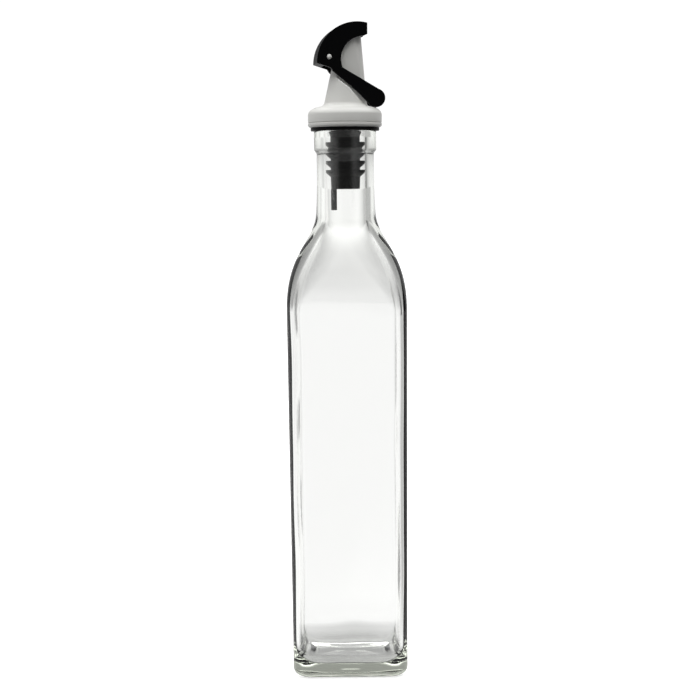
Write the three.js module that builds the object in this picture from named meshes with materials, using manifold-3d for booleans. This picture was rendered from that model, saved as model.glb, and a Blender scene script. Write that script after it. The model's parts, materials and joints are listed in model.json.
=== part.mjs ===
// Refillable square glass oil bottle with a push-in pourer.
// The pourer is a ribbed stopper, a slanted spout on a collar, an air tube and a hinged flap.
// The flap tips open by its own weight when the bottle is tilted to pour.
// Millimetres, +Z up. The origin is the centre of the base, on the surface the bottle stands on.

import * as THREE from 'three';
import { mergeVertices } from 'three/addons/utils/BufferGeometryUtils.js';
import Module from 'manifold-3d';

const wasm = await Module();
wasm.setup();

// Glass bottle
const GLASS_HEIGHT = 265.9;
const BASE_HALF_WIDTH = 27.9;
const SHOULDER_HALF_WIDTH = 28.9;
const HEEL_RADIUS = 5.5;
const BEARING_HALF_WIDTH = 20.5;
const PUSH_UP = 1.4;
const SHOULDER_START = 182;
const SHOULDER_LEAVING = 208;
const SHOULDER_ARRIVING = 212.5;
const SHOULDER_FLARE = 0.9;
const NECK_START = 226;
const NECK_RADIUS = 14.6;
const NECK_WAIST_RADIUS = 14;
const NECK_WAIST_HEIGHT = 244;
const LIP_RADIUS = 15.2;
const LIP_HEIGHT = 9.7;
const LIP_EDGE = 0.9;
const BORE_RADIUS = 9.85;
const WALL = 2.8;
const INNER_DROP = 3;
const FLOOR_HEIGHT = 6;
const FLOOR_RISE = 1.4;
const INNER_HEEL_RADIUS = 10;
const OUTER_ROUNDNESS = 0.22;
const INNER_ROUNDNESS = 0.15;
const GLASS_SEGMENTS = 64;
const SHOULDER_STEPS = 11;
const ROUNDING_LEAD = 4;

// Pourer, turned a little about the bottle's axis
const POURER_TURN = THREE.MathUtils.degToRad(8);
const FLANGE_RADIUS = 16.7;
const FLANGE_HEIGHT = 1.7;
const CORE_RADIUS = 7.2;
const CORE_END_RADIUS = 7;
const CORE_BOTTOM = 237.7;
const COLLAR_RADIUS = 8.6;
const COLLAR_DEPTH = 2.7;
const RIB_RADIUS = 9.6;
const RIB_TAPER = 3.4;
const RIB_EDGE = 1.3;
const RIB_FIRST_HEIGHT = 260.4;
const RIB_SPACING = 4.45;
const RIB_COUNT = 4;
const POURER_SEGMENTS = 48;

// Air tube under the stopper
const TUBE_X = -5.75;
const TUBE_RADIUS = 1.45;
const TUBE_BORE = 0.75;
const TUBE_BOTTOM = 227.2;
const TUBE_SEGMENTS = 20;

// Pour channel through stopper and spout
const CHANNEL_BOTTOM_X = 1.8;
const CHANNEL_BOTTOM_RADIUS = 4.4;
const CHANNEL_TOP_RADIUS = 3.6;
const CHANNEL_OVERRUN = 1;

// Spout
const COLLAR_RING_RADIUS = 18;
const RING_EDGE_HEIGHT = 6.4;
const RING_CHAMFER = 0.8;
const RING_GROOVE_HEIGHT = 2;
const RING_GROOVE_WIDTH = 0.5;
const RING_GROOVE_DEPTH = 0.35;
const RING_SEGMENTS_UP = 6;
const DOME_HEIGHT = 278;
const SPOUT_BASE_RADIUS = 11.2;
const SPOUT_BASE_X = 0;
const SPOUT_TIP_RADIUS = 5.4;
const SPOUT_TIP_X = 2.75;
const SPOUT_TIP_HEIGHT = 311.6;
const SPOUT_SUNK = 4;
const SPOUT_HALF_THICKNESS = 5.7;
const RECESS_BACK = new THREE.Vector2(-7, 292.6);
const RECESS_MIDDLE = new THREE.Vector2(1.5, 285.6);
const RECESS_FRONT = new THREE.Vector2(8, 278.4);

// Flap and its hinge
const PIVOT_X = -8.3;
const PIVOT_HEIGHT = 301.1;
const BOSS_RADIUS = 1.15;
const BOSS_CLEARANCE = 0.3;
const LUG_RADIUS = 3.3;
const LUG_REACH = 6.5;
const CHEEK_GAP = 6;
const CHEEK_THICKNESS = 1.8;
const ROOF_RADIUS = 19.8;
const ROOF_CENTRE = new THREE.Vector2(5.5, 298.1);
const ROOF_THICKNESS = 1.9;
const ROOF_LIP_LENGTH = 3.8;
const ROOF_LIP_THICKNESS = 1.2;
const HOOK_X = 10.3;
const HOOK_BOTTOM = 312.2;
const BEAK_BOTTOM = 311.9;
const BEAK_WIDTH = 1.8;
const NOTCH_RADIUS = 11.1;
const NOTCH_CENTRE = new THREE.Vector2(8.5, 300);
const NOTCH_START = THREE.MathUtils.degToRad(201);
const PADDLE_RADIUS = 4.5;
const PADDLE_CENTRE = new THREE.Vector2(14.3, 281.5);
const PADDLE_START = THREE.MathUtils.degToRad(212);
const PADDLE_END = THREE.MathUtils.degToRad(432);
const HEEL_CORNER = new THREE.Vector2(-7.6, 295.9);
const ARM_ROOT = new THREE.Vector2(-6.5, 294.2);
const ARM_WAIST = new THREE.Vector2(3.2, 287);
const PIN_SEGMENTS = 16;
const PLATE_SEGMENTS = 12;

// A closed mesh with merged vertices and no empty triangles, as a solid
function toSolid(geometry) {
  const bare = geometry.index ? geometry.clone() : geometry;
  bare.deleteAttribute('normal');
  bare.deleteAttribute('uv');
  const merged = mergeVertices(bare, 1e-4);
  const index = merged.index.array;
  const kept = [];
  for (let i = 0; i < index.length; i += 3) {
    const [a, b, c] = [index[i], index[i + 1], index[i + 2]];
    if (a !== b && b !== c && c !== a) {
      kept.push(a, b, c);
    }
  }
  const vertProperties = new Float32Array(merged.attributes.position.array);
  return new wasm.Manifold(new wasm.Mesh({ numProp: 3, vertProperties, triVerts: new Uint32Array(kept) }));
}

function toGeometry(solid) {
  const mesh = solid.getMesh();
  const geometry = new THREE.BufferGeometry();
  geometry.setAttribute('position', new THREE.BufferAttribute(mesh.vertProperties.slice(), 3));
  geometry.setIndex(new THREE.BufferAttribute(mesh.triVerts.slice(), 1));
  geometry.computeVertexNormals();
  return geometry;
}

// A profile of radius and height turned about the Z axis
function turned(points, segments) {
  return new THREE.LatheGeometry(points, segments).rotateX(Math.PI / 2);
}

// An outline of x and height, given a width from y = from to y = to
function plate(outline, from, to) {
  const settings = { depth: to - from, bevelEnabled: false, curveSegments: PLATE_SEGMENTS };
  const geometry = new THREE.ExtrudeGeometry(outline, settings);
  return geometry.rotateX(Math.PI / 2).translate(0, to, 0);
}

// An upright round bar or cone whose top is moved sideways
function leaningCone(bottom, top, segments) {
  const height = top.z - bottom.z;
  const lean = (top.x - bottom.x) / height;
  const geometry = new THREE.CylinderGeometry(top.radius, bottom.radius, height, segments);
  geometry.rotateX(Math.PI / 2).translate(0, 0, height / 2);
  const shear = new THREE.Matrix4().set(1, 0, lean, bottom.x, 0, 1, 0, 0, 0, 0, 1, bottom.z, 0, 0, 0, 1);
  return geometry.applyMatrix4(shear);
}

// How far out a rounded square of half width 1 reaches at an angle; a roundness of 1 is a circle
function roundedSquareReach(angle, roundness) {
  const quarter = Math.PI / 2;
  const turn = ((angle % quarter) + quarter) % quarter;
  const folded = Math.min(turn, quarter - turn);
  if (Math.tan(folded) <= 1 - roundness) {
    return 1 / Math.cos(folded);
  }
  const centre = Math.SQRT2 * (1 - roundness);
  const off = folded - Math.PI / 4;
  return centre * Math.cos(off) + Math.sqrt(roundness ** 2 - (centre * Math.sin(off)) ** 2);
}

// The square body grows round over the shoulder
function roundnessAt(height, body) {
  const blend = THREE.MathUtils.smoothstep(height + ROUNDING_LEAD, SHOULDER_START, NECK_START);
  return THREE.MathUtils.lerp(body, 1, blend);
}

function glassOuterProfile() {
  const path = new THREE.Path();
  path.moveTo(0, PUSH_UP);
  path.quadraticCurveTo(BEARING_HALF_WIDTH * 0.6, PUSH_UP, BEARING_HALF_WIDTH, 0);
  path.lineTo(BASE_HALF_WIDTH - HEEL_RADIUS, 0);
  path.absarc(BASE_HALF_WIDTH - HEEL_RADIUS, HEEL_RADIUS, HEEL_RADIUS, -Math.PI / 2, 0);
  path.lineTo(SHOULDER_HALF_WIDTH, SHOULDER_START);
  const base = path.getPoints(3);
  const shoulder = new THREE.CubicBezierCurve(
    new THREE.Vector2(SHOULDER_HALF_WIDTH, SHOULDER_START),
    new THREE.Vector2(SHOULDER_HALF_WIDTH, SHOULDER_LEAVING),
    new THREE.Vector2(NECK_RADIUS + SHOULDER_FLARE, SHOULDER_ARRIVING),
    new THREE.Vector2(NECK_RADIUS, NECK_START),
  );
  const lip = new THREE.Path();
  const lipBottom = GLASS_HEIGHT - LIP_HEIGHT;
  lip.moveTo(NECK_WAIST_RADIUS, NECK_WAIST_HEIGHT);
  lip.lineTo(NECK_WAIST_RADIUS, lipBottom - LIP_EDGE);
  lip.quadraticCurveTo(LIP_RADIUS, lipBottom - LIP_EDGE, LIP_RADIUS, lipBottom + LIP_EDGE);
  lip.lineTo(LIP_RADIUS, GLASS_HEIGHT - LIP_EDGE);
  lip.absarc(LIP_RADIUS - LIP_EDGE, GLASS_HEIGHT - LIP_EDGE, LIP_EDGE, 0, Math.PI / 2);
  return [...base, ...shoulder.getPoints(SHOULDER_STEPS).slice(1), ...lip.getPoints(2)];
}

function glassInnerProfile() {
  const bodyHalf = SHOULDER_HALF_WIDTH - WALL;
  const floorHalf = BASE_HALF_WIDTH - WALL;
  const shoulder = new THREE.CubicBezierCurve(
    new THREE.Vector2(BORE_RADIUS, NECK_START - INNER_DROP),
    new THREE.Vector2(BORE_RADIUS + SHOULDER_FLARE, SHOULDER_ARRIVING - INNER_DROP),
    new THREE.Vector2(bodyHalf, SHOULDER_LEAVING - INNER_DROP),
    new THREE.Vector2(bodyHalf, SHOULDER_START - INNER_DROP),
  );
  const path = new THREE.Path();
  const heelCentre = FLOOR_HEIGHT + INNER_HEEL_RADIUS;
  path.moveTo(floorHalf, heelCentre);
  path.absarc(floorHalf - INNER_HEEL_RADIUS, heelCentre, INNER_HEEL_RADIUS, 0, -Math.PI / 2, true);
  path.quadraticCurveTo(floorHalf * 0.3, FLOOR_HEIGHT + FLOOR_RISE, 0, FLOOR_HEIGHT + FLOOR_RISE);
  const mouth = new THREE.Vector2(BORE_RADIUS, GLASS_HEIGHT);
  return [mouth, ...shoulder.getPoints(SHOULDER_STEPS), ...path.getPoints(3)];
}

// One closed skin: up the outside, over the lip, down the bore to the floor
function glassBottle() {
  const outer = glassOuterProfile();
  const profile = [...outer, ...glassInnerProfile()];
  const geometry = turned(profile, GLASS_SEGMENTS);
  const position = geometry.attributes.position;
  for (let i = 0; i < position.count; i += 1) {
    const step = i % profile.length;
    const body = step < outer.length ? OUTER_ROUNDNESS : INNER_ROUNDNESS;
    const angle = Math.atan2(position.getY(i), position.getX(i));
    const reach = roundedSquareReach(angle, roundnessAt(position.getZ(i), body));
    position.setXY(i, position.getX(i) * reach, position.getY(i) * reach);
  }
  return toGeometry(toSolid(geometry));
}

const FLANGE_TOP = GLASS_HEIGHT + FLANGE_HEIGHT;

function pourChannel() {
  const bottom = { x: CHANNEL_BOTTOM_X, z: CORE_BOTTOM - CHANNEL_OVERRUN, radius: CHANNEL_BOTTOM_RADIUS };
  const top = { x: SPOUT_TIP_X, z: SPOUT_TIP_HEIGHT + CHANNEL_OVERRUN, radius: CHANNEL_TOP_RADIUS };
  return toSolid(leaningCone(bottom, top, POURER_SEGMENTS / 2));
}

// Flange on the lip, with upward-flaring ribs down the core
function stopper() {
  const profile = [new THREE.Vector2(0, CORE_BOTTOM), new THREE.Vector2(CORE_END_RADIUS, CORE_BOTTOM)];
  for (let rib = RIB_COUNT - 1; rib >= 0; rib -= 1) {
    const height = RIB_FIRST_HEIGHT - rib * RIB_SPACING;
    profile.push(new THREE.Vector2(CORE_RADIUS, height - RIB_TAPER));
    profile.push(new THREE.Vector2(RIB_RADIUS, height - RIB_EDGE));
    profile.push(new THREE.Vector2(RIB_RADIUS, height));
    profile.push(new THREE.Vector2(CORE_RADIUS, height));
  }
  profile.push(new THREE.Vector2(CORE_RADIUS, GLASS_HEIGHT - COLLAR_DEPTH));
  profile.push(new THREE.Vector2(COLLAR_RADIUS, GLASS_HEIGHT));
  profile.push(new THREE.Vector2(FLANGE_RADIUS, GLASS_HEIGHT));
  profile.push(new THREE.Vector2(FLANGE_RADIUS, FLANGE_TOP));
  profile.push(new THREE.Vector2(0, FLANGE_TOP));
  return toGeometry(toSolid(turned(profile, POURER_SEGMENTS)).subtract(pourChannel()));
}

function airTube() {
  const profile = [
    new THREE.Vector2(TUBE_BORE, TUBE_BOTTOM),
    new THREE.Vector2(TUBE_RADIUS, TUBE_BOTTOM),
    new THREE.Vector2(TUBE_RADIUS, CORE_BOTTOM),
    new THREE.Vector2(TUBE_BORE, CORE_BOTTOM),
    new THREE.Vector2(TUBE_BORE, TUBE_BOTTOM),
  ];
  return toGeometry(toSolid(turned(profile, TUBE_SEGMENTS)));
}

// Grooved ring with a rounded top, under the leaning cone
function collarRing() {
  const edge = FLANGE_TOP + RING_EDGE_HEIGHT;
  const groove = FLANGE_TOP + RING_GROOVE_HEIGHT;
  const path = new THREE.Path();
  path.moveTo(0, FLANGE_TOP);
  path.lineTo(COLLAR_RING_RADIUS - RING_CHAMFER, FLANGE_TOP);
  path.lineTo(COLLAR_RING_RADIUS, FLANGE_TOP + RING_CHAMFER);
  path.lineTo(COLLAR_RING_RADIUS, groove);
  path.lineTo(COLLAR_RING_RADIUS - RING_GROOVE_DEPTH, groove + RING_GROOVE_WIDTH / 2);
  path.lineTo(COLLAR_RING_RADIUS, groove + RING_GROOVE_WIDTH);
  path.lineTo(COLLAR_RING_RADIUS, edge);
  path.quadraticCurveTo(COLLAR_RING_RADIUS - 0.6, DOME_HEIGHT - 1.3, SPOUT_BASE_RADIUS - 1, DOME_HEIGHT);
  path.lineTo(0, DOME_HEIGHT);
  return toSolid(turned(path.getPoints(RING_SEGMENTS_UP), POURER_SEGMENTS));
}

// Everything beside the flats that the flap's cheeks and arms swing through
function armRecess() {
  const outline = new THREE.Shape();
  const top = SPOUT_TIP_HEIGHT + CHANNEL_OVERRUN;
  const reach = 2 * COLLAR_RING_RADIUS;
  outline.moveTo(-reach, RECESS_BACK.y);
  outline.lineTo(RECESS_BACK.x, RECESS_BACK.y);
  outline.lineTo(RECESS_MIDDLE.x, RECESS_MIDDLE.y);
  outline.lineTo(RECESS_FRONT.x, RECESS_FRONT.y);
  outline.lineTo(reach, RECESS_FRONT.y);
  outline.lineTo(reach, top);
  outline.lineTo(-reach, top);
  const near = toSolid(plate(outline, -reach, -SPOUT_HALF_THICKNESS));
  const far = toSolid(plate(outline, SPOUT_HALF_THICKNESS, reach));
  return near.add(far);
}

function hingePin(radius, halfLength) {
  const geometry = new THREE.CylinderGeometry(radius, radius, 2 * halfLength, PIN_SEGMENTS);
  return toSolid(geometry.translate(PIVOT_X, 0, PIVOT_HEIGHT));
}

// Lug behind the cone, with a boss on each side for the flap
function hingeLug() {
  const outline = new THREE.Shape();
  outline.absarc(PIVOT_X, PIVOT_HEIGHT, LUG_RADIUS, Math.PI / 2, (3 * Math.PI) / 2);
  outline.lineTo(PIVOT_X + LUG_REACH, PIVOT_HEIGHT - LUG_RADIUS);
  outline.lineTo(PIVOT_X + LUG_REACH, PIVOT_HEIGHT + LUG_RADIUS);
  return toSolid(plate(outline, -SPOUT_HALF_THICKNESS, SPOUT_HALF_THICKNESS));
}

function spout() {
  const bottom = { x: SPOUT_BASE_X, z: DOME_HEIGHT - SPOUT_SUNK, radius: SPOUT_BASE_RADIUS };
  const top = { x: SPOUT_TIP_X, z: SPOUT_TIP_HEIGHT, radius: SPOUT_TIP_RADIUS };
  const cone = toSolid(leaningCone(bottom, top, POURER_SEGMENTS)).subtract(armRecess());
  const pin = hingePin(BOSS_RADIUS, CHEEK_GAP + CHEEK_THICKNESS);
  return toGeometry(collarRing().add(cone).add(hingeLug()).subtract(pourChannel()).add(pin));
}

const HOOK_ANGLE = Math.acos((HOOK_X - ROOF_CENTRE.x) / ROOF_RADIUS);
const HOOK_TOP = ROOF_CENTRE.y + ROOF_RADIUS * Math.sin(HOOK_ANGLE);
const BACK_CORNER = new THREE.Vector2(ROOF_CENTRE.x - ROOF_RADIUS, ROOF_CENTRE.y);

// Side of the flap: beak over the mouth, round back, and an arm down to a weight
function cheekOutline() {
  const notchEnd = Math.acos((HOOK_X - BEAK_WIDTH - NOTCH_CENTRE.x) / NOTCH_RADIUS);
  const foot = new THREE.Vector2(Math.cos(PADDLE_START), Math.sin(PADDLE_START));
  foot.multiplyScalar(PADDLE_RADIUS).add(PADDLE_CENTRE);
  const outline = new THREE.Shape();
  outline.moveTo(HOOK_X, BEAK_BOTTOM);
  outline.lineTo(HOOK_X, HOOK_TOP);
  outline.absarc(ROOF_CENTRE.x, ROOF_CENTRE.y, ROOF_RADIUS, HOOK_ANGLE, Math.PI);
  outline.lineTo(HEEL_CORNER.x, HEEL_CORNER.y);
  outline.lineTo(ARM_ROOT.x, ARM_ROOT.y);
  outline.quadraticCurveTo(ARM_WAIST.x, ARM_WAIST.y, foot.x, foot.y);
  outline.absarc(PADDLE_CENTRE.x, PADDLE_CENTRE.y, PADDLE_RADIUS, PADDLE_START, PADDLE_END);
  outline.absarc(NOTCH_CENTRE.x, NOTCH_CENTRE.y, NOTCH_RADIUS, NOTCH_START, notchEnd, true);
  return outline;
}

// Back and beak between the cheeks, from just over the spout's mouth round to a lip under the hinge
function roofOutline() {
  const inner = ROOF_RADIUS - ROOF_THICKNESS;
  const beakBack = Math.PI - Math.asin((HOOK_BOTTOM - ROOF_CENTRE.y) / inner);
  const along = HEEL_CORNER.clone().sub(BACK_CORNER).normalize();
  const up = new THREE.Vector2(-along.y, along.x);
  const lipEnd = BACK_CORNER.clone().addScaledVector(along, ROOF_LIP_LENGTH);
  const lipTop = lipEnd.clone().addScaledVector(up, ROOF_LIP_THICKNESS);
  const outline = new THREE.Shape();
  outline.moveTo(HOOK_X, HOOK_BOTTOM);
  outline.lineTo(HOOK_X, HOOK_TOP);
  outline.absarc(ROOF_CENTRE.x, ROOF_CENTRE.y, ROOF_RADIUS, HOOK_ANGLE, Math.PI);
  outline.lineTo(lipEnd.x, lipEnd.y);
  outline.lineTo(lipTop.x, lipTop.y);
  outline.absarc(ROOF_CENTRE.x, ROOF_CENTRE.y, inner, Math.PI, beakBack, true);
  return outline;
}

function flap() {
  const cheek = cheekOutline();
  const outside = CHEEK_GAP + CHEEK_THICKNESS;
  const near = toSolid(plate(cheek, -outside, -CHEEK_GAP));
  const far = toSolid(plate(cheek, CHEEK_GAP, outside));
  const roof = toSolid(plate(roofOutline(), -CHEEK_GAP, CHEEK_GAP));
  const hole = hingePin(BOSS_RADIUS + BOSS_CLEARANCE, 2 * outside);
  return toGeometry(near.add(far).add(roof).subtract(hole));
}

function piece(name, geometry, look) {
  const mesh = new THREE.Mesh(geometry, new THREE.MeshStandardMaterial(look));
  mesh.name = name;
  return mesh;
}

const CLEAR_GLASS = { color: 0xe6ece8, roughness: 0.03, metalness: 0, transparent: true, opacity: 0.35 };
const BLACK_RUBBER = { color: 0x111314, roughness: 0.45, metalness: 0 };
const BLACK_PLASTIC = { color: 0x08090a, roughness: 0.3, metalness: 0 };
const WHITE_PLASTIC = { color: 0xdcdcd6, roughness: 0.4, metalness: 0 };
const DARK_TUBE = { color: 0x35383a, roughness: 0.35, metalness: 0 };

const tube = piece('air_tube', airTube(), DARK_TUBE);
tube.position.x = TUBE_X;

const pourer = new THREE.Group();
pourer.rotation.z = POURER_TURN;
pourer.add(piece('stopper', stopper(), BLACK_RUBBER));
pourer.add(piece('spout', spout(), WHITE_PLASTIC));
pourer.add(piece('flap', flap(), BLACK_PLASTIC));
pourer.add(tube);

const bottle = new THREE.Group();
bottle.add(piece('glass_bottle', glassBottle(), CLEAR_GLASS));
bottle.add(pourer);

export default bottle;
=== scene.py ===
"""Refillable square glass oil bottle with a push-in pourer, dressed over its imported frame."""

import json
import math

import bmesh
import bpy
from mathutils import Matrix, Vector, noise


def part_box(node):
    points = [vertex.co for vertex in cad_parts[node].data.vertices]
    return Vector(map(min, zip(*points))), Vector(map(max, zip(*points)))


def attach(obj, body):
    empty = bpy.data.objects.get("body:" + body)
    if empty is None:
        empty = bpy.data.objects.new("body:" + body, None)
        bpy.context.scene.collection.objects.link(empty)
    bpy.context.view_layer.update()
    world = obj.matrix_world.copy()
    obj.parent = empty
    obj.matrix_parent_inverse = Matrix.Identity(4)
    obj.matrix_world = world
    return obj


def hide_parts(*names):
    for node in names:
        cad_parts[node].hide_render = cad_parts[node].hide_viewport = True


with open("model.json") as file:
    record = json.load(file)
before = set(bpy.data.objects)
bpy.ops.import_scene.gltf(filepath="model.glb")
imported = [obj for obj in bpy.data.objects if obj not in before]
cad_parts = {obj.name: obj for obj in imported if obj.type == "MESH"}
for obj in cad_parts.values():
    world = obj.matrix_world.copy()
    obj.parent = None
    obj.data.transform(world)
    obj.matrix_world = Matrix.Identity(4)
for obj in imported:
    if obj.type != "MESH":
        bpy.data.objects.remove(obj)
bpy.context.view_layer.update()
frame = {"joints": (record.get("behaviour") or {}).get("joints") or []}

bl_info = {
    "name": "Oil Bottle",
    "version": (1, 0, 0),
    "blender": (4, 5, 0),
    "location": "View3D > Sidebar > Oil Bottle",
    "description": "Builds a glass oil bottle and its hinged pourer over their frame",
    "category": "Add Mesh",
}

MM = 0.001
FULL_TURN = 2 * math.pi

# Places and sizes from the frame
GLASS_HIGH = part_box("glass_bottle")[1]
STOPPER_LOW, STOPPER_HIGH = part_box("stopper")
SPOUT_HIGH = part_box("spout")[1]
TUBE_LOW, TUBE_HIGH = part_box("air_tube")
HINGE = frame["joints"][0]
POURER_TURN = math.atan2(HINGE["axis"][0], -HINGE["axis"][1])
TURNED = Matrix.Rotation(POURER_TURN, 4, "Z")
PIVOT = TURNED.inverted() @ Vector(HINGE["pos_m"])

# Glass bottle
GLASS_HEIGHT = GLASS_HIGH.z
SHOULDER_HALF = GLASS_HIGH.x
BASE_HALF = SHOULDER_HALF - 1.0 * MM
HEEL_RADIUS = 5.5 * MM
BEARING_HALF = 20.5 * MM
PUSH_UP = 1.4 * MM
SHOULDER_START = 182 * MM
SHOULDER_LEAVING = 208 * MM
SHOULDER_ARRIVING = 212.5 * MM
SHOULDER_FLARE = 0.9 * MM
NECK_START = 226 * MM
NECK_RADIUS = 14.6 * MM
NECK_WAIST_RADIUS = 14 * MM
NECK_WAIST_HEIGHT = 244 * MM
LIP_RADIUS = 15.2 * MM
LIP_HEIGHT = 9.7 * MM
LIP_EDGE = 0.9 * MM
BORE_RADIUS = 9.85 * MM
INNER_DROP = 3 * MM
FLOOR_HEIGHT = 6 * MM
FLOOR_RISE = 1.4 * MM
INNER_HEEL_RADIUS = 10 * MM
OUTER_ROUNDNESS = 0.22
INNER_ROUNDNESS = 0.15
ROUNDING_LEAD = 4 * MM
GLASS_STEPS = 192
CORNER_CROWDING = 0.12
NECK_EASE = 6 * MM
NECK_EASE_IN = 0.4 * MM
LIP_UNDERCUT = 0.8 * MM
LIP_SHOULDER = 1.2 * MM
BORE_START = GLASS_HEIGHT - 4 * MM
WANDER_LENGTH = 60 * MM
WANDER_SCALE = 1.7
AXIS_NEAR = 0.01 * MM
WELD = 0.001 * MM

# Stopper
FLANGE_BOTTOM = GLASS_HEIGHT
FLANGE_TOP = STOPPER_HIGH.z
FLANGE_RADIUS = STOPPER_HIGH.x
CORE_BOTTOM = STOPPER_LOW.z
CORE_RADIUS = 7.2 * MM
CORE_END_RADIUS = 7 * MM
COLLAR_RADIUS = 8.6 * MM
COLLAR_DEPTH = 2.7 * MM
RIB_RADIUS = 9.6 * MM
RIB_TAPER = 3.4 * MM
RIB_EDGE = 1.3 * MM
RIB_FIRST_HEIGHT = 260.4 * MM
RIB_SPACING = 4.45 * MM
RIB_COUNT = 4
RIB_TIP_ROUND = 0.2 * MM
RIB_ROOT_ROUND = 0.3 * MM
RIB_TOP_DROP = 0.2 * MM
CORE_END_ROUND = 0.4 * MM
COLLAR_ROUND = 0.5 * MM
COLLAR_TOP_ROUND = 0.2 * MM
FLANGE_ROUND = 0.35 * MM
POURER_STEPS = 144

# Air tube
TUBE_RADIUS = 1.45 * MM
TUBE_BORE = 0.75 * MM
TUBE_EDGE = 0.2 * MM
TUBE_STEPS = 40

# Pour channel through stopper and spout
CHANNEL_BOTTOM_X = 1.8 * MM
CHANNEL_BOTTOM_RADIUS = 4.4 * MM
CHANNEL_TOP_RADIUS = 3.6 * MM
CHANNEL_OVERRUN = 1 * MM
CHANNEL_STEPS = 64
CHANNEL_NEAR = 0.05 * MM

# Spout
RING_RADIUS = SPOUT_HIGH.x
RING_EDGE_HEIGHT = 6.4 * MM
RING_CHAMFER = 0.8 * MM
RING_GROOVE_HEIGHT = 2 * MM
RING_GROOVE_WIDTH = 0.5 * MM
RING_GROOVE_DEPTH = 0.35 * MM
DOME_HEIGHT = 278 * MM
SPOUT_BASE_HEIGHT = 274 * MM
SPOUT_BASE_RADIUS = 11.2 * MM
SPOUT_BASE_X = 0
SPOUT_TIP_RADIUS = 5.4 * MM
SPOUT_TIP_X = 2.75 * MM
SPOUT_TIP_HEIGHT = SPOUT_HIGH.z
CHANNEL_LOW = CORE_BOTTOM - CHANNEL_OVERRUN
CHANNEL_HIGH = SPOUT_TIP_HEIGHT + CHANNEL_OVERRUN
SPOUT_FILLET = 2 * MM
SPOUT_LIP = 0.5 * MM
DOME_FOOT = DOME_HEIGHT - 0.35 * MM
DOME_LEAN = (RING_RADIUS - 0.6 * MM, DOME_HEIGHT - 1.3 * MM)
FOOT_LIFT = 0.1 * MM
LEAN_START = 276.5 * MM
LEAN_END = 279.5 * MM
RING_FOOT_ROUND = 0.2 * MM
RING_CHAMFER_ROUND = 0.35 * MM
GROOVE_EDGE_ROUND = 0.12 * MM
GROOVE_FLOOR_ROUND = 0.1 * MM
GROOVE_FLOOR = (0.35, 0.65)
SPOUT_HALF_THICKNESS = 5.7 * MM
RECESS_LINE = ((-7 * MM, 292.6 * MM), (1.5 * MM, 285.6 * MM), (8 * MM, 278.4 * MM))
RECESS_WALL = 0.8 * MM
RECESS_SOFTNESS = 0.6 * MM

# Flap and hinge
BOSS_RADIUS = 1.15 * MM
BOSS_CLEARANCE = 0.3 * MM
LUG_RADIUS = 3.3 * MM
LUG_REACH = 6.5 * MM
LUG_INSET = 0.05 * MM
PIN_STEPS = 32
CHEEK_GAP = 6 * MM
CHEEK_THICKNESS = 1.8 * MM
ROOF_RADIUS = 19.8 * MM
ROOF_CENTRE = Vector((5.5 * MM, 298.1 * MM))
ROOF_THICKNESS = 1.9 * MM
ROOF_LIP_LENGTH = 3.8 * MM
ROOF_LIP_THICKNESS = 1.2 * MM
HOOK_X = 10.3 * MM
HOOK_BOTTOM = 312.2 * MM
BEAK_BOTTOM = 311.9 * MM
BEAK_WIDTH = 1.8 * MM
NOTCH_RADIUS = 11.1 * MM
NOTCH_CENTRE = Vector((8.5 * MM, 300 * MM))
NOTCH_START = 201
PADDLE_RADIUS = 4.5 * MM
PADDLE_CENTRE = Vector((14.3 * MM, 281.5 * MM))
PADDLE_START = 212
PADDLE_END = 432
HEEL_CORNER = Vector((-7.6 * MM, 295.9 * MM))
ARM_ROOT = Vector((-6.5 * MM, 294.2 * MM))
ARM_WAIST = Vector((3.2 * MM, 287 * MM))
EDGE_ANGLE = math.radians(35)

# Finishes
PLASTIC_REFRACTION = 1.48
GRAIN_DEPTH = 0.1 * MM
GRAIN_DETAIL = 4

# Stage, in metres and shares of full brightness
STAGE_RADIUS = 8
TABLE_DROP = 1 * MM
BACKDROP_RADIUS = 12
BACKDROP_GLOW = 1.05
FLOOR_ROUGHNESS = 0.9
FLOOR_SHINE = 0.1
CAMERA_CLIP = 0.01
DIAGONAL = math.sqrt(0.5)
SIGHT_LINES = ((0, 1), (-1, 0), (-DIAGONAL, DIAGONAL), (DIAGONAL, -DIAGONAL))
SIGHT_START = (-0.03, 0.02)
SIGHT_EDGE = (0.4, 2.0)
SIGHT_LEAST = 0.001
# Out to here from the bottle's axis, the light table's painted contact shadow is at its darkest.
PAINTED_SHADOW_START = 0.02
FRONT_TURN = (0.75, 0.95)
BACK_RISE = (-0.04, 0.2)
TOP_RISE = (0.45, 0.75)
UNDER_RISE = (-0.3, -0.1)


# Curves for profiles and outlines

def line(start, end, steps):
    """Points after start, evenly on to end."""
    return [Vector(start).lerp(Vector(end), i / steps) for i in range(1, steps + 1)]


def arc(centre, radius, start, end, steps):
    """Points of a round stretch between two angles in degrees."""
    angles = [math.radians(start + (end - start) * i / steps) for i in range(steps + 1)]
    return [Vector((centre[0] + radius * math.cos(a), centre[1] + radius * math.sin(a))) for a in angles]


def bend(start, control, end, steps):
    """Points after start along a curve that leans towards one control point."""
    control = Vector(control)
    leave = Vector(start).lerp(control, 2 / 3)
    arrive = Vector(end).lerp(control, 2 / 3)
    return sweep(start, leave, arrive, end, steps)


def sweep(start, leave, arrive, end, steps):
    """Points after start along a curve with two control points."""
    made = []
    for i in range(1, steps + 1):
        t = i / steps
        s = 1 - t
        made.append(
            s ** 3 * Vector(start) + 3 * s * s * t * Vector(leave)
            + 3 * s * t * t * Vector(arrive) + t ** 3 * Vector(end)
        )
    return made


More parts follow.
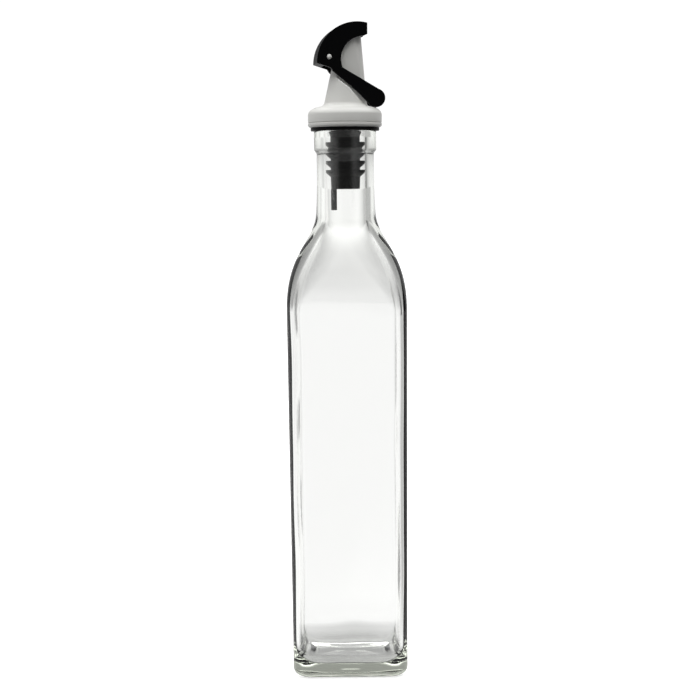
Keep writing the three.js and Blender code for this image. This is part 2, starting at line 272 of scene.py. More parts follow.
def rounded(corners, steps=4):
    """A polyline of (x, height, cut) whose corners are rounded from cut before to cut after them."""
    made = []
    for i, (x, z, cut) in enumerate(corners):
        here = Vector((x, z))
        if cut == 0 or i in (0, len(corners) - 1):
            made.append(here)
            continue
        before = Vector(corners[i - 1][:2]) - here
        after = Vector(corners[i + 1][:2]) - here
        first = here + before.normalized() * min(cut, before.length / 2)
        last = here + after.normalized() * min(cut, after.length / 2)
        made.append(first)
        made += bend(first, here, last, steps)
    return made


def smooth_step(low, high, value):
    """Goes from 0 at low to 1 at high, gently at both ends."""
    share = min(max((value - low) / (high - low), 0), 1)
    return share * share * (3 - 2 * share)


def mix(start, end, share):
    """The value a share of the way from start to end."""
    return start + (end - start) * share


# Meshes

def turn_skin(bm, verts, steps, closed=False):
    """Turns a row of points about Z into a closed skin."""
    pairs = list(zip(verts, verts[1:]))
    if closed:
        pairs.append((verts[-1], verts[0]))
    edges = [bm.edges.new(pair) for pair in pairs]
    bmesh.ops.spin(
        bm, geom=verts + edges, cent=(0, 0, 0), axis=(0, 0, 1), angle=FULL_TURN, steps=steps,
        use_merge=True,
    )
    bmesh.ops.remove_doubles(bm, verts=bm.verts, dist=WELD)
    bmesh.ops.dissolve_degenerate(bm, dist=WELD, edges=bm.edges)
    bmesh.ops.recalc_face_normals(bm, faces=bm.faces)


def spun(bm, profile, steps, closed=False):
    """Turns a profile of (radius, height) about Z into a closed skin."""
    turn_skin(bm, [bm.verts.new((p[0], 0, p[1])) for p in profile], steps, closed)


def prism(bm, outline, low, high):
    """An outline of (x, height) with a width from y = low to y = high."""
    face = bm.faces.new([bm.verts.new((p[0], low, p[1])) for p in outline])
    pulled = bmesh.ops.extrude_face_region(bm, geom=[face])
    moved = [v for v in pulled["geom"] if isinstance(v, bmesh.types.BMVert)]
    bmesh.ops.translate(bm, verts=moved, vec=(0, high - low, 0))
    bmesh.ops.recalc_face_normals(bm, faces=bm.faces)


def crossbar(bm, radius, half_length):
    """A round bar along Y through the hinge."""
    place = Matrix.Translation(PIVOT) @ Matrix.Rotation(math.pi / 2, 4, "X")
    bmesh.ops.create_cone(
        bm, cap_ends=True, segments=PIN_STEPS, radius1=radius, radius2=radius,
        depth=2 * half_length, matrix=place,
    )


def channel(bm):
    """The leaning round way that oil is poured through."""
    middle = (CHANNEL_LOW + CHANNEL_HIGH) / 2
    bmesh.ops.create_cone(
        bm, cap_ends=True, segments=CHANNEL_STEPS, radius1=CHANNEL_BOTTOM_RADIUS,
        radius2=CHANNEL_TOP_RADIUS, depth=CHANNEL_HIGH - CHANNEL_LOW,
        matrix=Matrix.Translation((0, 0, middle)),
    )
    for v in bm.verts:
        v.co.x += channel_x(v.co.z)


def channel_share(height):
    """How far up the pour channel a height is, from 0 to 1."""
    return (height - CHANNEL_LOW) / (CHANNEL_HIGH - CHANNEL_LOW)


def channel_x(height):
    """Where the pour channel's middle is at a height."""
    return mix(CHANNEL_BOTTOM_X, SPOUT_TIP_X, channel_share(height))


def channel_radius(height):
    """How wide the pour channel is at a height."""
    return mix(CHANNEL_BOTTOM_RADIUS, CHANNEL_TOP_RADIUS, channel_share(height))


def to_object(name, bm):
    """A bmesh as an object of the scene, smooth all over."""
    mesh = bpy.data.meshes.new(name)
    bm.to_mesh(mesh)
    bm.free()
    mesh.shade_smooth()
    made = bpy.data.objects.new(name, mesh)
    bpy.context.scene.collection.objects.link(made)
    return made


def combine(piece, tool, operation):
    """Joins or cuts a piece with a tool object, which is used up."""
    step = piece.modifiers.new(operation.title(), "BOOLEAN")
    step.object = tool
    step.operation = operation
    step.solver = "EXACT"
    graph = bpy.context.evaluated_depsgraph_get()
    mesh = bpy.data.meshes.new_from_object(piece.evaluated_get(graph))
    piece.modifiers.clear()
    old = piece.data
    piece.data = mesh
    mesh.name = piece.name
    bpy.data.meshes.remove(old)
    bpy.data.meshes.remove(tool.data)


def soften(piece, width):
    """Rounds a piece's edges a little and evens out its shading."""
    bevel = piece.modifiers.new("Soft edges", "BEVEL")
    bevel.width = width
    bevel.segments = 3
    bevel.limit_method = "ANGLE"
    bevel.angle_limit = EDGE_ANGLE
    bevel.miter_outer = "MITER_ARC"
    even = piece.modifiers.new("Even shading", "WEIGHTED_NORMAL")
    even.keep_sharp = True


def settle(piece, body, node, material):
    """Puts a finished piece on its body in place of its frame node."""
    if not piece.data.polygons:
        raise RuntimeError(piece.name + " has no faces")
    piece.data.materials.clear()
    piece.data.materials.append(material)
    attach(piece, body)
    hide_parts(node)


# Materials

def shader_material(name):
    """A new material with its nodes and its shader."""
    material = bpy.data.materials.new(name)
    material.use_nodes = True
    return material, material.node_tree, material.node_tree.nodes["Principled BSDF"]


def grain(tree, shader, scale, low, high, bump):
    """Slight unevenness of gloss and surface, from noise on the piece's own coordinates."""
    place = tree.nodes.new("ShaderNodeTexCoord")
    field = tree.nodes.new("ShaderNodeTexNoise")
    field.inputs["Scale"].default_value = scale
    field.inputs["Detail"].default_value = GRAIN_DETAIL
    tree.links.new(place.outputs["Object"], field.inputs["Vector"])
    gloss = tree.nodes.new("ShaderNodeMapRange")
    gloss.inputs["To Min"].default_value = low
    gloss.inputs["To Max"].default_value = high
    tree.links.new(field.outputs["Fac"], gloss.inputs["Value"])
    tree.links.new(gloss.outputs["Result"], shader.inputs["Roughness"])
    relief = tree.nodes.new("ShaderNodeBump")
    relief.inputs["Strength"].default_value = bump
    relief.inputs["Distance"].default_value = GRAIN_DEPTH
    tree.links.new(field.outputs["Fac"], relief.inputs["Height"])
    tree.links.new(relief.outputs["Normal"], shader.inputs["Normal"])


def clear_glass(look):
    """Smooth glass that takes on its tint where it is thick."""
    material, tree, shader = shader_material("clear glass")
    shader.inputs["Base Color"].default_value = (1, 1, 1, 1)
    shader.inputs["Roughness"].default_value = 0
    shader.inputs["IOR"].default_value = look.refraction
    shader.inputs["Transmission Weight"].default_value = 1
    inside = tree.nodes.new("ShaderNodeVolumeAbsorption")
    inside.inputs["Color"].default_value = (*look.tint, 1)
    inside.inputs["Density"].default_value = look.tint_density
    tree.links.new(inside.outputs["Volume"], tree.nodes["Material Output"].inputs["Volume"])
    return material


def moulded(name, colour, low, high, scale, bump, shine=0.5):
    """Moulded plastic or rubber whose roughness goes from low to high with its grain."""
    material, tree, shader = shader_material(name)
    shader.inputs["Specular IOR Level"].default_value = shine
    shader.inputs["Base Color"].default_value = (*colour, 1)
    shader.inputs["IOR"].default_value = PLASTIC_REFRACTION
    grain(tree, shader, scale, low, high, bump)
    return material


# Properties

class OilBottleGlass(bpy.types.PropertyGroup):
    """Sizes and looks of the glass"""
    wall: bpy.props.FloatProperty(
        name="Wall", description="Thickness of the flat sides", default=2.8 * MM, unit="LENGTH"
    )
    unevenness: bpy.props.FloatProperty(
        name="Unevenness", description="How far the inside of the wall wanders",
        default=0.55 * MM, unit="LENGTH"
    )
    refraction: bpy.props.FloatProperty(name="Refraction", description="Index of refraction", default=1.5)
    tint: bpy.props.FloatVectorProperty(
        name="Tint", description="Colour that thick glass takes on",
        default=(0.78, 0.84, 0.68), subtype="COLOR"
    )
    tint_density: bpy.props.FloatProperty(
        name="Tint density", description="Strength of the tint for each metre of glass", default=15
    )


class OilBottlePourer(bpy.types.PropertyGroup):
    """Colours of the pourer"""
    white: bpy.props.FloatVectorProperty(
        name="Spout", description="Colour of the spout", default=(0.76, 0.76, 0.73), subtype="COLOR"
    )
    black: bpy.props.FloatVectorProperty(
        name="Flap", description="Colour of the flap", default=(0.003, 0.003, 0.0033), subtype="COLOR"
    )
    rubber: bpy.props.FloatVectorProperty(
        name="Stopper", description="Colour of the stopper", default=(0.003, 0.0032, 0.0034), subtype="COLOR"
    )
    tube: bpy.props.FloatVectorProperty(
        name="Air tube", description="Colour of the air tube", default=(0.012, 0.014, 0.0145), subtype="COLOR"
    )
    edge: bpy.props.FloatProperty(
        name="Edge", description="Width of the rounding on the flap's edges", default=0.4 * MM, unit="LENGTH"
    )


class OilBottleStage(bpy.types.PropertyGroup):
    """Floor, light and camera"""
    floor: bpy.props.FloatVectorProperty(
        name="Floor", description="Colour of the floor", default=(0.9, 0.9, 0.9), subtype="COLOR"
    )
    floor_glow: bpy.props.FloatProperty(
        name="Floor glow", description="Light that the floor gives off by itself", default=0.5
    )
    back_light: bpy.props.FloatProperty(
        name="Back light", description="Brightness behind the bottle", default=1.0
    )
    back_high: bpy.props.FloatProperty(
        name="High back light", description="Brightness behind and above the bottle", default=0.35
    )
    front_light: bpy.props.FloatProperty(
        name="Front light", description="Brightness on the camera's side", default=0.1
    )
    side_light: bpy.props.FloatProperty(
        name="Side light", description="Brightness between front and back", default=0.5
    )
    top_light: bpy.props.FloatProperty(
        name="Top light", description="Brightness overhead", default=2.1
    )
    under_light: bpy.props.FloatProperty(
        name="Under light", description="Brightness from below the floor's edge", default=0.1
    )
    table_white: bpy.props.FloatProperty(
        name="Table white", description="Brightness of the light table along the lines of sight", default=1.03
    )
    table_grey: bpy.props.FloatProperty(
        name="Table grey", description="Brightness of the light table beside the lines of sight", default=0.5
    )
    # Painted contact shadow on the light table around the bottle's foot: how much of the table's light is
    # left there, and how far out the shadow reaches.
    painted_shadow_grey: bpy.props.FloatProperty(
        name="Foot grey", description="Share of light that the table gives right by the bottle", default=0.42
    )
    painted_shadow_reach: bpy.props.FloatProperty(
        name="Table near", description="Where the table gives its whole light", default=0.085, unit="LENGTH"
    )
    table_width: bpy.props.FloatProperty(
        name="Table width", description="Half width of the white at the bottle", default=0.06, unit="LENGTH"
    )
    table_spread: bpy.props.FloatProperty(
        name="Table spread", description="How fast the white widens away from the bottle", default=0.3
    )
    window: bpy.props.FloatProperty(
        name="Window", description="Half the width of the white behind the bottle",
        default=math.radians(6), subtype="ANGLE"
    )
    window_edge: bpy.props.FloatProperty(
        name="Window edge", description="Width of the change from white to grey",
        default=math.radians(52), subtype="ANGLE"
    )
    distance: bpy.props.FloatProperty(
        name="Camera distance", description="From the camera to the bottle's axis", default=0.8, unit="LENGTH"
    )
    height: bpy.props.FloatProperty(
        name="Camera height", description="Camera above the floor", default=0.24, unit="LENGTH"
    )
    pitch: bpy.props.FloatProperty(
        name="Camera pitch", description="How far the camera looks down",
        default=math.radians(5.81), subtype="ANGLE"
    )
    swing: bpy.props.FloatProperty(
        name="Camera swing", description="How far the camera looks to the right of the axis",
        default=math.radians(0.095), subtype="ANGLE"
    )
    roll: bpy.props.FloatProperty(
        name="Camera roll", description="How far the camera leans", default=math.radians(0.6), subtype="ANGLE"
    )
    lens: bpy.props.FloatProperty(
        name="Lens", description="Focal length of the camera in millimetres", default=83.7
    )


# Glass bottle

def square_reach(angle, roundness):
    """How far out a rounded square of half width 1 reaches at an angle; a roundness of 1 is a circle."""
    turn = angle % (math.pi / 2)
    folded = min(turn, math.pi / 2 - turn)
    if math.tan(folded) <= 1 - roundness:
        return 1 / math.cos(folded)
    centre = math.sqrt(2) * (1 - roundness)
    off = folded - math.pi / 4
    return centre * math.cos(off) + math.sqrt(roundness ** 2 - (centre * math.sin(off)) ** 2)


def glass_outside():
    """Profile from under the base up to the top of the lip."""
    lip_bottom = GLASS_HEIGHT - LIP_HEIGHT
    made = [Vector((0, PUSH_UP))]
    made += bend((0, PUSH_UP), (BEARING_HALF * 0.6, PUSH_UP), (BEARING_HALF, 0), 16)
    made += line(made[-1], (BASE_HALF - HEEL_RADIUS, 0), 2)
    made += arc((BASE_HALF - HEEL_RADIUS, HEEL_RADIUS), HEEL_RADIUS, -90, 0, 12)[1:]
    made += line(made[-1], (SHOULDER_HALF, SHOULDER_START), 40)
    made += sweep(
        made[-1], (SHOULDER_HALF, SHOULDER_LEAVING),
        (NECK_RADIUS + SHOULDER_FLARE, SHOULDER_ARRIVING), (NECK_RADIUS, NECK_START), 32,
    )
    made += sweep(
        made[-1], (NECK_RADIUS - NECK_EASE_IN, NECK_START + NECK_EASE),
        (NECK_WAIST_RADIUS, NECK_WAIST_HEIGHT - NECK_EASE), (NECK_WAIST_RADIUS, NECK_WAIST_HEIGHT), 8,
    )
    made += rounded([
        (NECK_WAIST_RADIUS, NECK_WAIST_HEIGHT + 2 * MM, 0),
        (NECK_WAIST_RADIUS, lip_bottom - LIP_EDGE, LIP_UNDERCUT),
        (LIP_RADIUS, lip_bottom + LIP_EDGE * 0.2, LIP_SHOULDER),
        (LIP_RADIUS, GLASS_HEIGHT, LIP_EDGE),
        (BORE_RADIUS, GLASS_HEIGHT, LIP_EDGE),
        (BORE_RADIUS, BORE_START, 0),
    ], 5)
    return made


def glass_inside(wall):
    """Profile from the bore down to the middle of the floor."""
    body, floor = SHOULDER_HALF - wall, BASE_HALF - wall
    heel = FLOOR_HEIGHT + INNER_HEEL_RADIUS
    made = line((BORE_RADIUS, BORE_START), (BORE_RADIUS, NECK_START - INNER_DROP), 12)
    made += sweep(
        made[-1], (BORE_RADIUS + SHOULDER_FLARE, SHOULDER_ARRIVING - INNER_DROP),
        (body, SHOULDER_LEAVING - INNER_DROP), (body, SHOULDER_START - INNER_DROP), 32,
    )
    made += line(made[-1], (floor, heel), 60)
    made += arc((floor - INNER_HEEL_RADIUS, heel), INNER_HEEL_RADIUS, 0, -90, 14)[1:]
    middle = FLOOR_HEIGHT + FLOOR_RISE
    made += bend(made[-1], (floor * 0.3, middle), (0, middle), 16)
    return made


def make_square(bm, inner_layer, unevenness):
    """Moves a round bottle's skin out to its square section, and lets the inside wander."""
    for v in bm.verts:
        radius = math.hypot(v.co.x, v.co.y)
        if radius < AXIS_NEAR:
            continue
        inside = v[inner_layer] == 1
        turn = math.atan2(v.co.y, v.co.x)
        angle = turn + CORNER_CROWDING * math.sin(4 * turn)
        blend = smooth_step(SHOULDER_START, NECK_START, v.co.z + ROUNDING_LEAD)
        roundness = mix(INNER_ROUNDNESS if inside else OUTER_ROUNDNESS, 1, blend)
        reach = radius * square_reach(angle, roundness)
        if inside:
            share = smooth_step(FLOOR_HEIGHT, 3 * FLOOR_HEIGHT, v.co.z) * (1 - blend)
            spot = Vector((math.cos(angle), math.sin(angle), v.co.z / WANDER_LENGTH))
            reach += share * unevenness * noise.noise(spot * WANDER_SCALE)
        v.co.x = reach * math.cos(angle)
        v.co.y = reach * math.sin(angle)


class OilBottleMakeGlass(bpy.types.Operator):
    """Make the clear square bottle as one closed skin, outside and inside"""
    bl_idname = "oil_bottle.make_glass"
    bl_label = "Make Glass Bottle"

    def execute(self, context):
        look = context.scene.oil_bottle_glass
        bm = bmesh.new()
        inner_layer = bm.verts.layers.int.new("inside")
        outside = glass_outside()
        profile = outside + glass_inside(look.wall)
        verts = [bm.verts.new((p[0], 0, p[1])) for p in profile]
        for v in verts[len(outside):]:
            v[inner_layer] = 1
        turn_skin(bm, verts, GLASS_STEPS)
        make_square(bm, inner_layer, look.unevenness)
        bmesh.ops.recalc_face_normals(bm, faces=bm.faces)
        piece = to_object("clear_glass_bottle", bm)
        settle(piece, "bottle", "glass_bottle", clear_glass(look))
        return {"FINISHED"}


# Stopper

class OilBottleMakeStopper(bpy.types.Operator):
    """Make the ribbed stopper with its flange"""
    bl_idname = "oil_bottle.make_stopper"
    bl_label = "Make Stopper"

    def execute(self, context):
        look = context.scene.oil_bottle_pourer
        corners = [(0, CORE_BOTTOM, 0), (CORE_END_RADIUS, CORE_BOTTOM, CORE_END_ROUND)]
        for rib in reversed(range(RIB_COUNT)):
            height = RIB_FIRST_HEIGHT - rib * RIB_SPACING
            corners.append((CORE_RADIUS, height - RIB_TAPER, RIB_ROOT_ROUND))
            corners.append((RIB_RADIUS, height - RIB_EDGE, RIB_TIP_ROUND))
            corners.append((RIB_RADIUS, height, RIB_TIP_ROUND))
            corners.append((CORE_RADIUS, height - RIB_TOP_DROP, RIB_ROOT_ROUND))
        corners.append((CORE_RADIUS, FLANGE_BOTTOM - COLLAR_DEPTH, COLLAR_ROUND))
        corners.append((COLLAR_RADIUS, FLANGE_BOTTOM, COLLAR_TOP_ROUND))
        corners.append((FLANGE_RADIUS, FLANGE_BOTTOM, FLANGE_ROUND))
        corners.append((FLANGE_RADIUS, FLANGE_TOP, FLANGE_ROUND))
        corners.append((0, FLANGE_TOP, 0))
        bm = bmesh.new()
        spun(bm, rounded(corners), POURER_STEPS)
        piece = to_object("ribbed_stopper", bm)
        cutter = bmesh.new()
        channel(cutter)
        combine(piece, to_object("channel", cutter), "DIFFERENCE")
        piece.data.transform(TURNED)
        rubber = moulded("black rubber", look.rubber, 0.34, 0.46, 900, 0.25, 0.06)
        settle(piece, "bottle", "stopper", rubber)
        return {"FINISHED"}


# Air tube

class OilBottleMakeTube(bpy.types.Operator):
    """Make the air tube under the stopper"""
    bl_idname = "oil_bottle.make_tube"
    bl_label = "Make Air Tube"

    def execute(self, context):
        look = context.scene.oil_bottle_pourer
        bm = bmesh.new()
        ring = rounded([
            (TUBE_BORE, TUBE_HIGH.z, 0),
            (TUBE_BORE, TUBE_LOW.z, TUBE_EDGE),
            (TUBE_RADIUS, TUBE_LOW.z, TUBE_EDGE),
            (TUBE_RADIUS, TUBE_HIGH.z, 0),
        ])
        spun(bm, ring, TUBE_STEPS, closed=True)
        middle = (TUBE_LOW + TUBE_HIGH) / 2
        bmesh.ops.translate(bm, verts=bm.verts, vec=(middle.x, middle.y, 0))
        piece = to_object("vent_tube", bm)
        dark = moulded("dark tube", look.tube, 0.25, 0.35, 700, 0.1)
        settle(piece, "bottle", "air_tube", dark)
        return {"FINISHED"}


# Spout

def recess_height(x):
    """The lower edge of the flats that the flap's arms lie against."""
    before = RECESS_LINE[0]
    for after in RECESS_LINE[1:]:
        if x <= after[0]:
            share = min(max((x - before[0]) / (after[0] - before[0]), 0), 1)
            return mix(before[1], after[1], share)
        before = after
    return before[1]


def soft_least(a, b, softness):
    """The smaller of two lengths, with a round change from one to the other."""
    near = max(softness - abs(a - b), 0) / softness
    return min(a, b) - near * near * softness / 4


def spout_profile():
    """Ring, dome and cone outside, then the pour channel back down."""
    groove = FLANGE_TOP + RING_GROOVE_HEIGHT
    sunk = RING_RADIUS - RING_GROOVE_DEPTH
    made = rounded([
        (channel_radius(FLANGE_TOP), FLANGE_TOP, 0),
        (RING_RADIUS - RING_CHAMFER, FLANGE_TOP, RING_FOOT_ROUND),
        (RING_RADIUS, FLANGE_TOP + RING_CHAMFER, RING_CHAMFER_ROUND),
        (RING_RADIUS, groove, GROOVE_EDGE_ROUND),
        (sunk, groove + RING_GROOVE_WIDTH * GROOVE_FLOOR[0], GROOVE_FLOOR_ROUND),
        (sunk, groove + RING_GROOVE_WIDTH * GROOVE_FLOOR[1], GROOVE_FLOOR_ROUND),
        (RING_RADIUS, groove + RING_GROOVE_WIDTH, GROOVE_EDGE_ROUND),
        (RING_RADIUS, FLANGE_TOP + RING_EDGE_HEIGHT, 0),
    ])
    foot = DOME_FOOT
    above = foot + SPOUT_FILLET
    made += bend(made[-1], DOME_LEAN, (cone_radius(foot) + SPOUT_FILLET, foot), 20)
    made += bend(made[-1], (cone_radius(foot), foot + FOOT_LIFT), (cone_radius(above), above), 10)
    lip = SPOUT_LIP
    top = SPOUT_TIP_HEIGHT
    made += line(made[-1], (cone_radius(top - lip), top - lip), 72)
    made += bend(made[-1], (SPOUT_TIP_RADIUS, top), (SPOUT_TIP_RADIUS - lip, top), 5)
    made += bend(made[-1], (channel_radius(top), top), (channel_radius(top - lip), top - lip), 5)
    made += line(made[-1], (channel_radius(FLANGE_TOP), FLANGE_TOP), 20)[:-1]
    return made


def cone_share(height):
    """How far up the cone a height is, from 0 to 1."""
    return (height - SPOUT_BASE_HEIGHT) / (SPOUT_TIP_HEIGHT - SPOUT_BASE_HEIGHT)


def cone_radius(height):
    """How wide the cone is at a height."""
    return mix(SPOUT_BASE_RADIUS, SPOUT_TIP_RADIUS, cone_share(height))


def cone_x(height):
    """How far forward the cone leans at a height; the dome stays upright."""
    leaning = smooth_step(LEAN_START, LEAN_END, height)
    return mix(SPOUT_BASE_X, SPOUT_TIP_X, cone_share(height)) * leaning


def lean_and_flatten(bm):
    """Leans the turned cone forward and flattens its sides for the flap."""
    for v in bm.verts:
        radius = math.hypot(v.co.x, v.co.y)
        if radius < channel_radius(v.co.z) + CHANNEL_NEAR:
            v.co.x += channel_x(v.co.z)
            continue
        v.co.x += cone_x(v.co.z)
        if v.co.z > DOME_HEIGHT:
            above = v.co.z - recess_height(v.co.x)
            open_side = 1 - smooth_step(0, RECESS_WALL, above)
            limit = SPOUT_HALF_THICKNESS + open_side * RING_RADIUS
            v.co.y = math.copysign(soft_least(abs(v.co.y), limit, RECESS_SOFTNESS), v.co.y)


class OilBottleMakeSpout(bpy.types.Operator):
    """Make the collar ring and leaning cone with the hinge's lug and bosses"""
    bl_idname = "oil_bottle.make_spout"
    bl_label = "Make Spout"

    def execute(self, context):
        look = context.scene.oil_bottle_pourer
        bm = bmesh.new()
        spun(bm, spout_profile(), POURER_STEPS, closed=True)
        lean_and_flatten(bm)
        piece = to_object("pouring_spout", bm)
        lug = bmesh.new()
        outline = arc((PIVOT.x, PIVOT.z), LUG_RADIUS, 90, 270, 24)
        outline.append(Vector((PIVOT.x + LUG_REACH, PIVOT.z - LUG_RADIUS)))
        outline.append(Vector((PIVOT.x + LUG_REACH, PIVOT.z + LUG_RADIUS)))
        half = SPOUT_HALF_THICKNESS - LUG_INSET
        prism(lug, outline, -half, half)
        combine(piece, to_object("lug", lug), "UNION")
        pin = bmesh.new()
        crossbar(pin, BOSS_RADIUS, CHEEK_GAP + CHEEK_THICKNESS)
        combine(piece, to_object("pin", pin), "UNION")
        cutter = bmesh.new()
        channel(cutter)
        combine(piece, to_object("channel", cutter), "DIFFERENCE")
        piece.data.transform(TURNED)
        white = moulded("white plastic", look.white, 0.3, 0.4, 500, 0.12)
        settle(piece, "bottle", "spout", white)
        return {"FINISHED"}


# Flap

def cheek_outline():
    """Side of the flap: beak, round back, and an arm down to its weight."""
    hook = math.degrees(math.acos((HOOK_X - ROOF_CENTRE.x) / ROOF_RADIUS))
    beak = math.degrees(math.acos((HOOK_X - BEAK_WIDTH - NOTCH_CENTRE.x) / NOTCH_RADIUS))
    paddle = arc(PADDLE_CENTRE, PADDLE_RADIUS, PADDLE_START, PADDLE_END, 40)
    made = [Vector((HOOK_X, BEAK_BOTTOM))]
    made += arc(ROOF_CENTRE, ROOF_RADIUS, hook, 180, 48)
    made += [HEEL_CORNER, ARM_ROOT]
    made += bend(ARM_ROOT, ARM_WAIST, paddle[0], 16)
    made += paddle[1:]
    made += arc(NOTCH_CENTRE, NOTCH_RADIUS, NOTCH_START, beak, 40)
    return made


def gap_outline():
    """The space between the cheeks, under the roof and open below and in front."""
    inner = ROOF_RADIUS - ROOF_THICKNESS
    back = 180 - math.degrees(math.asin((HOOK_BOTTOM - ROOF_CENTRE.y) / inner))
    corner = Vector((ROOF_CENTRE.x - ROOF_RADIUS, ROOF_CENTRE.y))
    along = (HEEL_CORNER - corner).normalized()
    up = Vector((-along.y, along.x))
    lip_end = corner + along * ROOF_LIP_LENGTH
    far = 3 * ROOF_RADIUS
    made = [lip_end - up * ROOF_RADIUS, Vector((far, lip_end.y - far)), Vector((far, HOOK_BOTTOM))]
    made += arc(ROOF_CENTRE, inner, back, 180, 40)
    made.append(lip_end + up * ROOF_LIP_THICKNESS)
    return made


class OilBottleMakeFlap(bpy.types.Operator):
    """Make the hinged flap with its beak, cheeks and weighted arms"""
    bl_idname = "oil_bottle.make_flap"
    bl_label = "Make Flap"

    def execute(self, context):
        look = context.scene.oil_bottle_pourer
        outside = CHEEK_GAP + CHEEK_THICKNESS
        bm = bmesh.new()
        prism(bm, cheek_outline(), -outside, outside)
        piece = to_object("hinged_flap", bm)
        gap = bmesh.new()
        prism(gap, gap_outline(), -CHEEK_GAP, CHEEK_GAP)
        combine(piece, to_object("gap", gap), "DIFFERENCE")
        hole = bmesh.new()
        crossbar(hole, BOSS_RADIUS + BOSS_CLEARANCE, 2 * outside)
        combine(piece, to_object("hole", hole), "DIFFERENCE")
        piece.data.transform(TURNED)
        soften(piece, look.edge)
        black = moulded("black plastic", look.black, 0.34, 0.46, 600, 0.12, 0.03)
        settle(piece, "flap", "flap", black)
        return {"FINISHED"}


# Stage

def math_node(tree, operation, first, second=0.0):
    """A sum on two sockets or numbers."""
    node = tree.nodes.new("ShaderNodeMath")
    node.operation = operation
    for socket, value in zip(node.inputs, (first, second)):
        if isinstance(value, bpy.types.NodeSocket):
            tree.links.new(value, socket)
        else:
            socket.default_value = value
    return node.outputs[0]


def ramp(tree, value, low, high, start, end):
    """A soft change from start to end as a value goes from low to high."""
    node = tree.nodes.new("ShaderNodeMapRange")
    node.interpolation_type = "SMOOTHSTEP"
    tree.links.new(value, node.inputs["Value"])
    for name, given in (("From Min", low), ("From Max", high), ("To Min", start), ("To Max", end)):
        if isinstance(given, bpy.types.NodeSocket):
            tree.links.new(given, node.inputs[name])
        else:
            node.inputs[name].default_value = given
    return node.outputs["Result"]


def disc(name, radius, height):
    """A flat round sheet about the axis."""
    bm = bmesh.new()
    bmesh.ops.create_circle(bm, cap_ends=True, segments=96, radius=radius)
    bmesh.ops.translate(bm, verts=bm.verts, vec=(0, 0, height))
    return to_object(name, bm)


def sphere(name, radius):
    """A ball about the origin."""
    bm = bmesh.new()
    bmesh.ops.create_icosphere(bm, subdivisions=4, radius=radius)
    return to_object(name, bm)


def only_seen_by(thing, rays):
    """Hides a thing from every kind of ray but those named."""
    for kind in ("camera", "diffuse", "glossy", "transmission", "volume_scatter", "shadow"):
        setattr(thing, "visible_" + kind, kind in rays)


def plain_glow(name, strength):
    """A material that only gives off white light."""
    material = bpy.data.materials.new(name)
    material.use_nodes = True
    tree = material.node_tree
    tree.nodes.remove(tree.nodes["Principled BSDF"])
    glow = tree.nodes.new("ShaderNodeEmission")
    glow.inputs["Strength"].default_value = strength
    tree.links.new(glow.outputs["Emission"], tree.nodes["Material Output"].inputs["Surface"])
    return material


def table_glow(stage):
    """White along the four lines of sight through the bottle, grey between them, and dimmed right by the
    bottle as a painted contact shadow.
    """
    material = plain_glow("light table", 1)
    tree = material.node_tree
    place = tree.nodes.new("ShaderNodeTexCoord")
    spot = tree.nodes.new("ShaderNodeSeparateXYZ")
    tree.links.new(place.outputs["Object"], spot.inputs[0])
    x, y = spot.outputs["X"], spot.outputs["Y"]
    brightest = None
    for along_x, along_y in SIGHT_LINES:
        x_ahead = math_node(tree, "MULTIPLY", x, along_x)
        y_ahead = math_node(tree, "MULTIPLY", y, along_y)
        ahead = math_node(tree, "ADD", x_ahead, y_ahead)
        x_across = math_node(tree, "MULTIPLY", x, along_y)
        y_across = math_node(tree, "MULTIPLY", y, along_x)
        across = math_node(tree, "ABSOLUTE", math_node(tree, "SUBTRACT", x_across, y_across))
        reach = math_node(tree, "MULTIPLY_ADD", ahead, stage.table_spread)
        reach.node.inputs[2].default_value = stage.table_width
        share = math_node(tree, "DIVIDE", across, math_node(tree, "MAXIMUM", reach, SIGHT_LEAST))
        past = ramp(tree, ahead, *SIGHT_START, stage.table_grey, stage.table_white)
        level = ramp(tree, share, *SIGHT_EDGE, past, stage.table_grey)
        brightest = level if brightest is None else math_node(tree, "MAXIMUM", brightest, level)
    # Painted contact shadow: the glow is dimmed close to the bottle's axis, as if the bottle shaded the
    # table, and reaches full strength further out.
    length = tree.nodes.new("ShaderNodeVectorMath")
    length.operation = "LENGTH"
    tree.links.new(place.outputs["Object"], length.inputs[0])
    near = ramp(tree, length.outputs["Value"], PAINTED_SHADOW_START, stage.painted_shadow_reach, stage.painted_shadow_grey, 1.0)
    glow = math_node(tree, "MULTIPLY", brightest, near)
    tree.links.new(glow, tree.nodes["Emission"].inputs["Strength"])
    return material


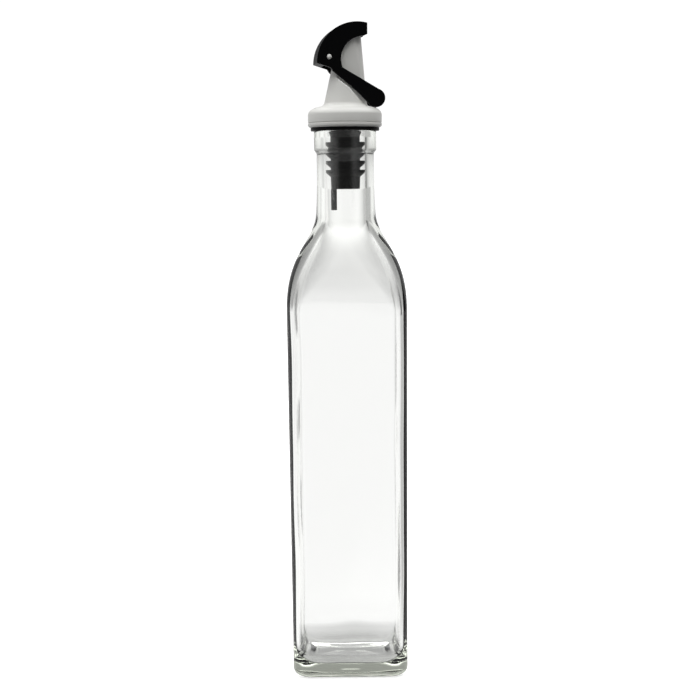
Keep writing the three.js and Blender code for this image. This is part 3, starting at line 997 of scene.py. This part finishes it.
def studio_room(stage):
    """Soft light all round: white behind, bright above, grey to the sides."""
    world = bpy.data.worlds.new("studio room")
    bpy.context.scene.world = world
    world.use_nodes = True
    tree = world.node_tree
    place = tree.nodes.new("ShaderNodeTexCoord")
    level = tree.nodes.new("ShaderNodeVectorMath")
    level.operation = "MULTIPLY"
    level.inputs[1].default_value = (1, 1, 0)
    tree.links.new(place.outputs["Generated"], level.inputs[0])
    heading = tree.nodes.new("ShaderNodeVectorMath")
    heading.operation = "NORMALIZE"
    tree.links.new(level.outputs[0], heading.inputs[0])
    flat = tree.nodes.new("ShaderNodeSeparateXYZ")
    tree.links.new(heading.outputs[0], flat.inputs[0])
    whole = tree.nodes.new("ShaderNodeSeparateXYZ")
    tree.links.new(place.outputs["Generated"], whole.inputs[0])
    left = math_node(tree, "MULTIPLY", flat.outputs["X"], -1)
    behind = math_node(tree, "MAXIMUM", flat.outputs["Y"], left)
    near = math_node(tree, "MULTIPLY", flat.outputs["Y"], -1)
    front = math_node(tree, "MAXIMUM", near, flat.outputs["X"])
    sides = ramp(tree, front, *FRONT_TURN, stage.side_light, stage.front_light)
    outer = math.cos(stage.window + stage.window_edge)
    back = ramp(tree, whole.outputs["Z"], *BACK_RISE, stage.back_light, stage.back_high)
    round_about = ramp(tree, behind, outer, math.cos(stage.window), sides, back)
    above = ramp(tree, whole.outputs["Z"], *TOP_RISE, round_about, stage.top_light)
    total = ramp(tree, whole.outputs["Z"], *UNDER_RISE, stage.under_light, above)
    tree.links.new(total, tree.nodes["Background"].inputs["Strength"])
    tree.nodes["Background"].inputs["Color"].default_value = (1, 1, 1, 1)


class OilBottleMakeStage(bpy.types.Operator):
    """Make the floor, the light and the camera"""
    bl_idname = "oil_bottle.make_stage"
    bl_label = "Make Stage"

    def execute(self, context):
        stage = context.scene.oil_bottle_stage
        floor = disc("floor", STAGE_RADIUS, 0)
        material, _, shader = shader_material("floor")
        shader.inputs["Base Color"].default_value = (*stage.floor, 1)
        shader.inputs["Roughness"].default_value = FLOOR_ROUGHNESS
        shader.inputs["Specular IOR Level"].default_value = FLOOR_SHINE
        shader.inputs["Emission Color"].default_value = (1, 1, 1, 1)
        shader.inputs["Emission Strength"].default_value = stage.floor_glow
        floor.data.materials.append(material)
        only_seen_by(floor, ("camera",))
        table = disc("light table", STAGE_RADIUS, -TABLE_DROP)
        table.data.materials.append(table_glow(stage))
        only_seen_by(table, ("transmission", "glossy"))
        sky = sphere("backdrop", BACKDROP_RADIUS)
        sky.data.materials.append(plain_glow("backdrop", BACKDROP_GLOW))
        only_seen_by(sky, ("camera",))
        studio_room(stage)
        lens = bpy.data.cameras.new("camera")
        lens.lens = stage.lens
        lens.clip_start = CAMERA_CLIP
        camera = bpy.data.objects.new("camera", lens)
        context.scene.collection.objects.link(camera)
        place = Matrix.Translation((0, -stage.distance, stage.height))
        aim = Matrix.Rotation(-stage.swing, 4, "Z") @ Matrix.Rotation(math.pi / 2 - stage.pitch, 4, "X")
        camera.matrix_world = place @ aim @ Matrix.Rotation(-stage.roll, 4, "Z")
        context.scene.camera = camera
        context.scene.view_settings.view_transform = "Standard"
        return {"FINISHED"}


class OilBottlePanel(bpy.types.Panel):
    """Lists the bottle's values and steps"""
    bl_idname = "OIL_BOTTLE_PT_panel"
    bl_label = "Oil Bottle"
    bl_space_type = "VIEW_3D"
    bl_region_type = "UI"
    bl_category = "Oil Bottle"

    def draw(self, context):
        for group in GROUPS:
            values = getattr(context.scene, group)
            for name in values.__annotations__:
                self.layout.prop(values, name)
        for step in STEPS:
            self.layout.operator(step.bl_idname)


GROUPS = {
    "oil_bottle_glass": OilBottleGlass,
    "oil_bottle_pourer": OilBottlePourer,
    "oil_bottle_stage": OilBottleStage,
}
STEPS = (
    OilBottleMakeGlass, OilBottleMakeStopper, OilBottleMakeTube, OilBottleMakeSpout, OilBottleMakeFlap,
    OilBottleMakeStage,
)


def register():
    for made in (*GROUPS.values(), *STEPS, OilBottlePanel):
        bpy.utils.register_class(made)
    for name, group in GROUPS.items():
        setattr(bpy.types.Scene, name, bpy.props.PointerProperty(type=group))


def unregister():
    for name in GROUPS:
        delattr(bpy.types.Scene, name)
    for made in (OilBottlePanel, *reversed(STEPS), *reversed(GROUPS.values())):
        bpy.utils.unregister_class(made)


def main():
    register()
    bpy.ops.oil_bottle.make_glass()
    bpy.ops.oil_bottle.make_stopper()
    bpy.ops.oil_bottle.make_tube()
    bpy.ops.oil_bottle.make_spout()
    bpy.ops.oil_bottle.make_flap()
    bpy.ops.oil_bottle.make_stage()


if __name__ == "__main__":
    main()
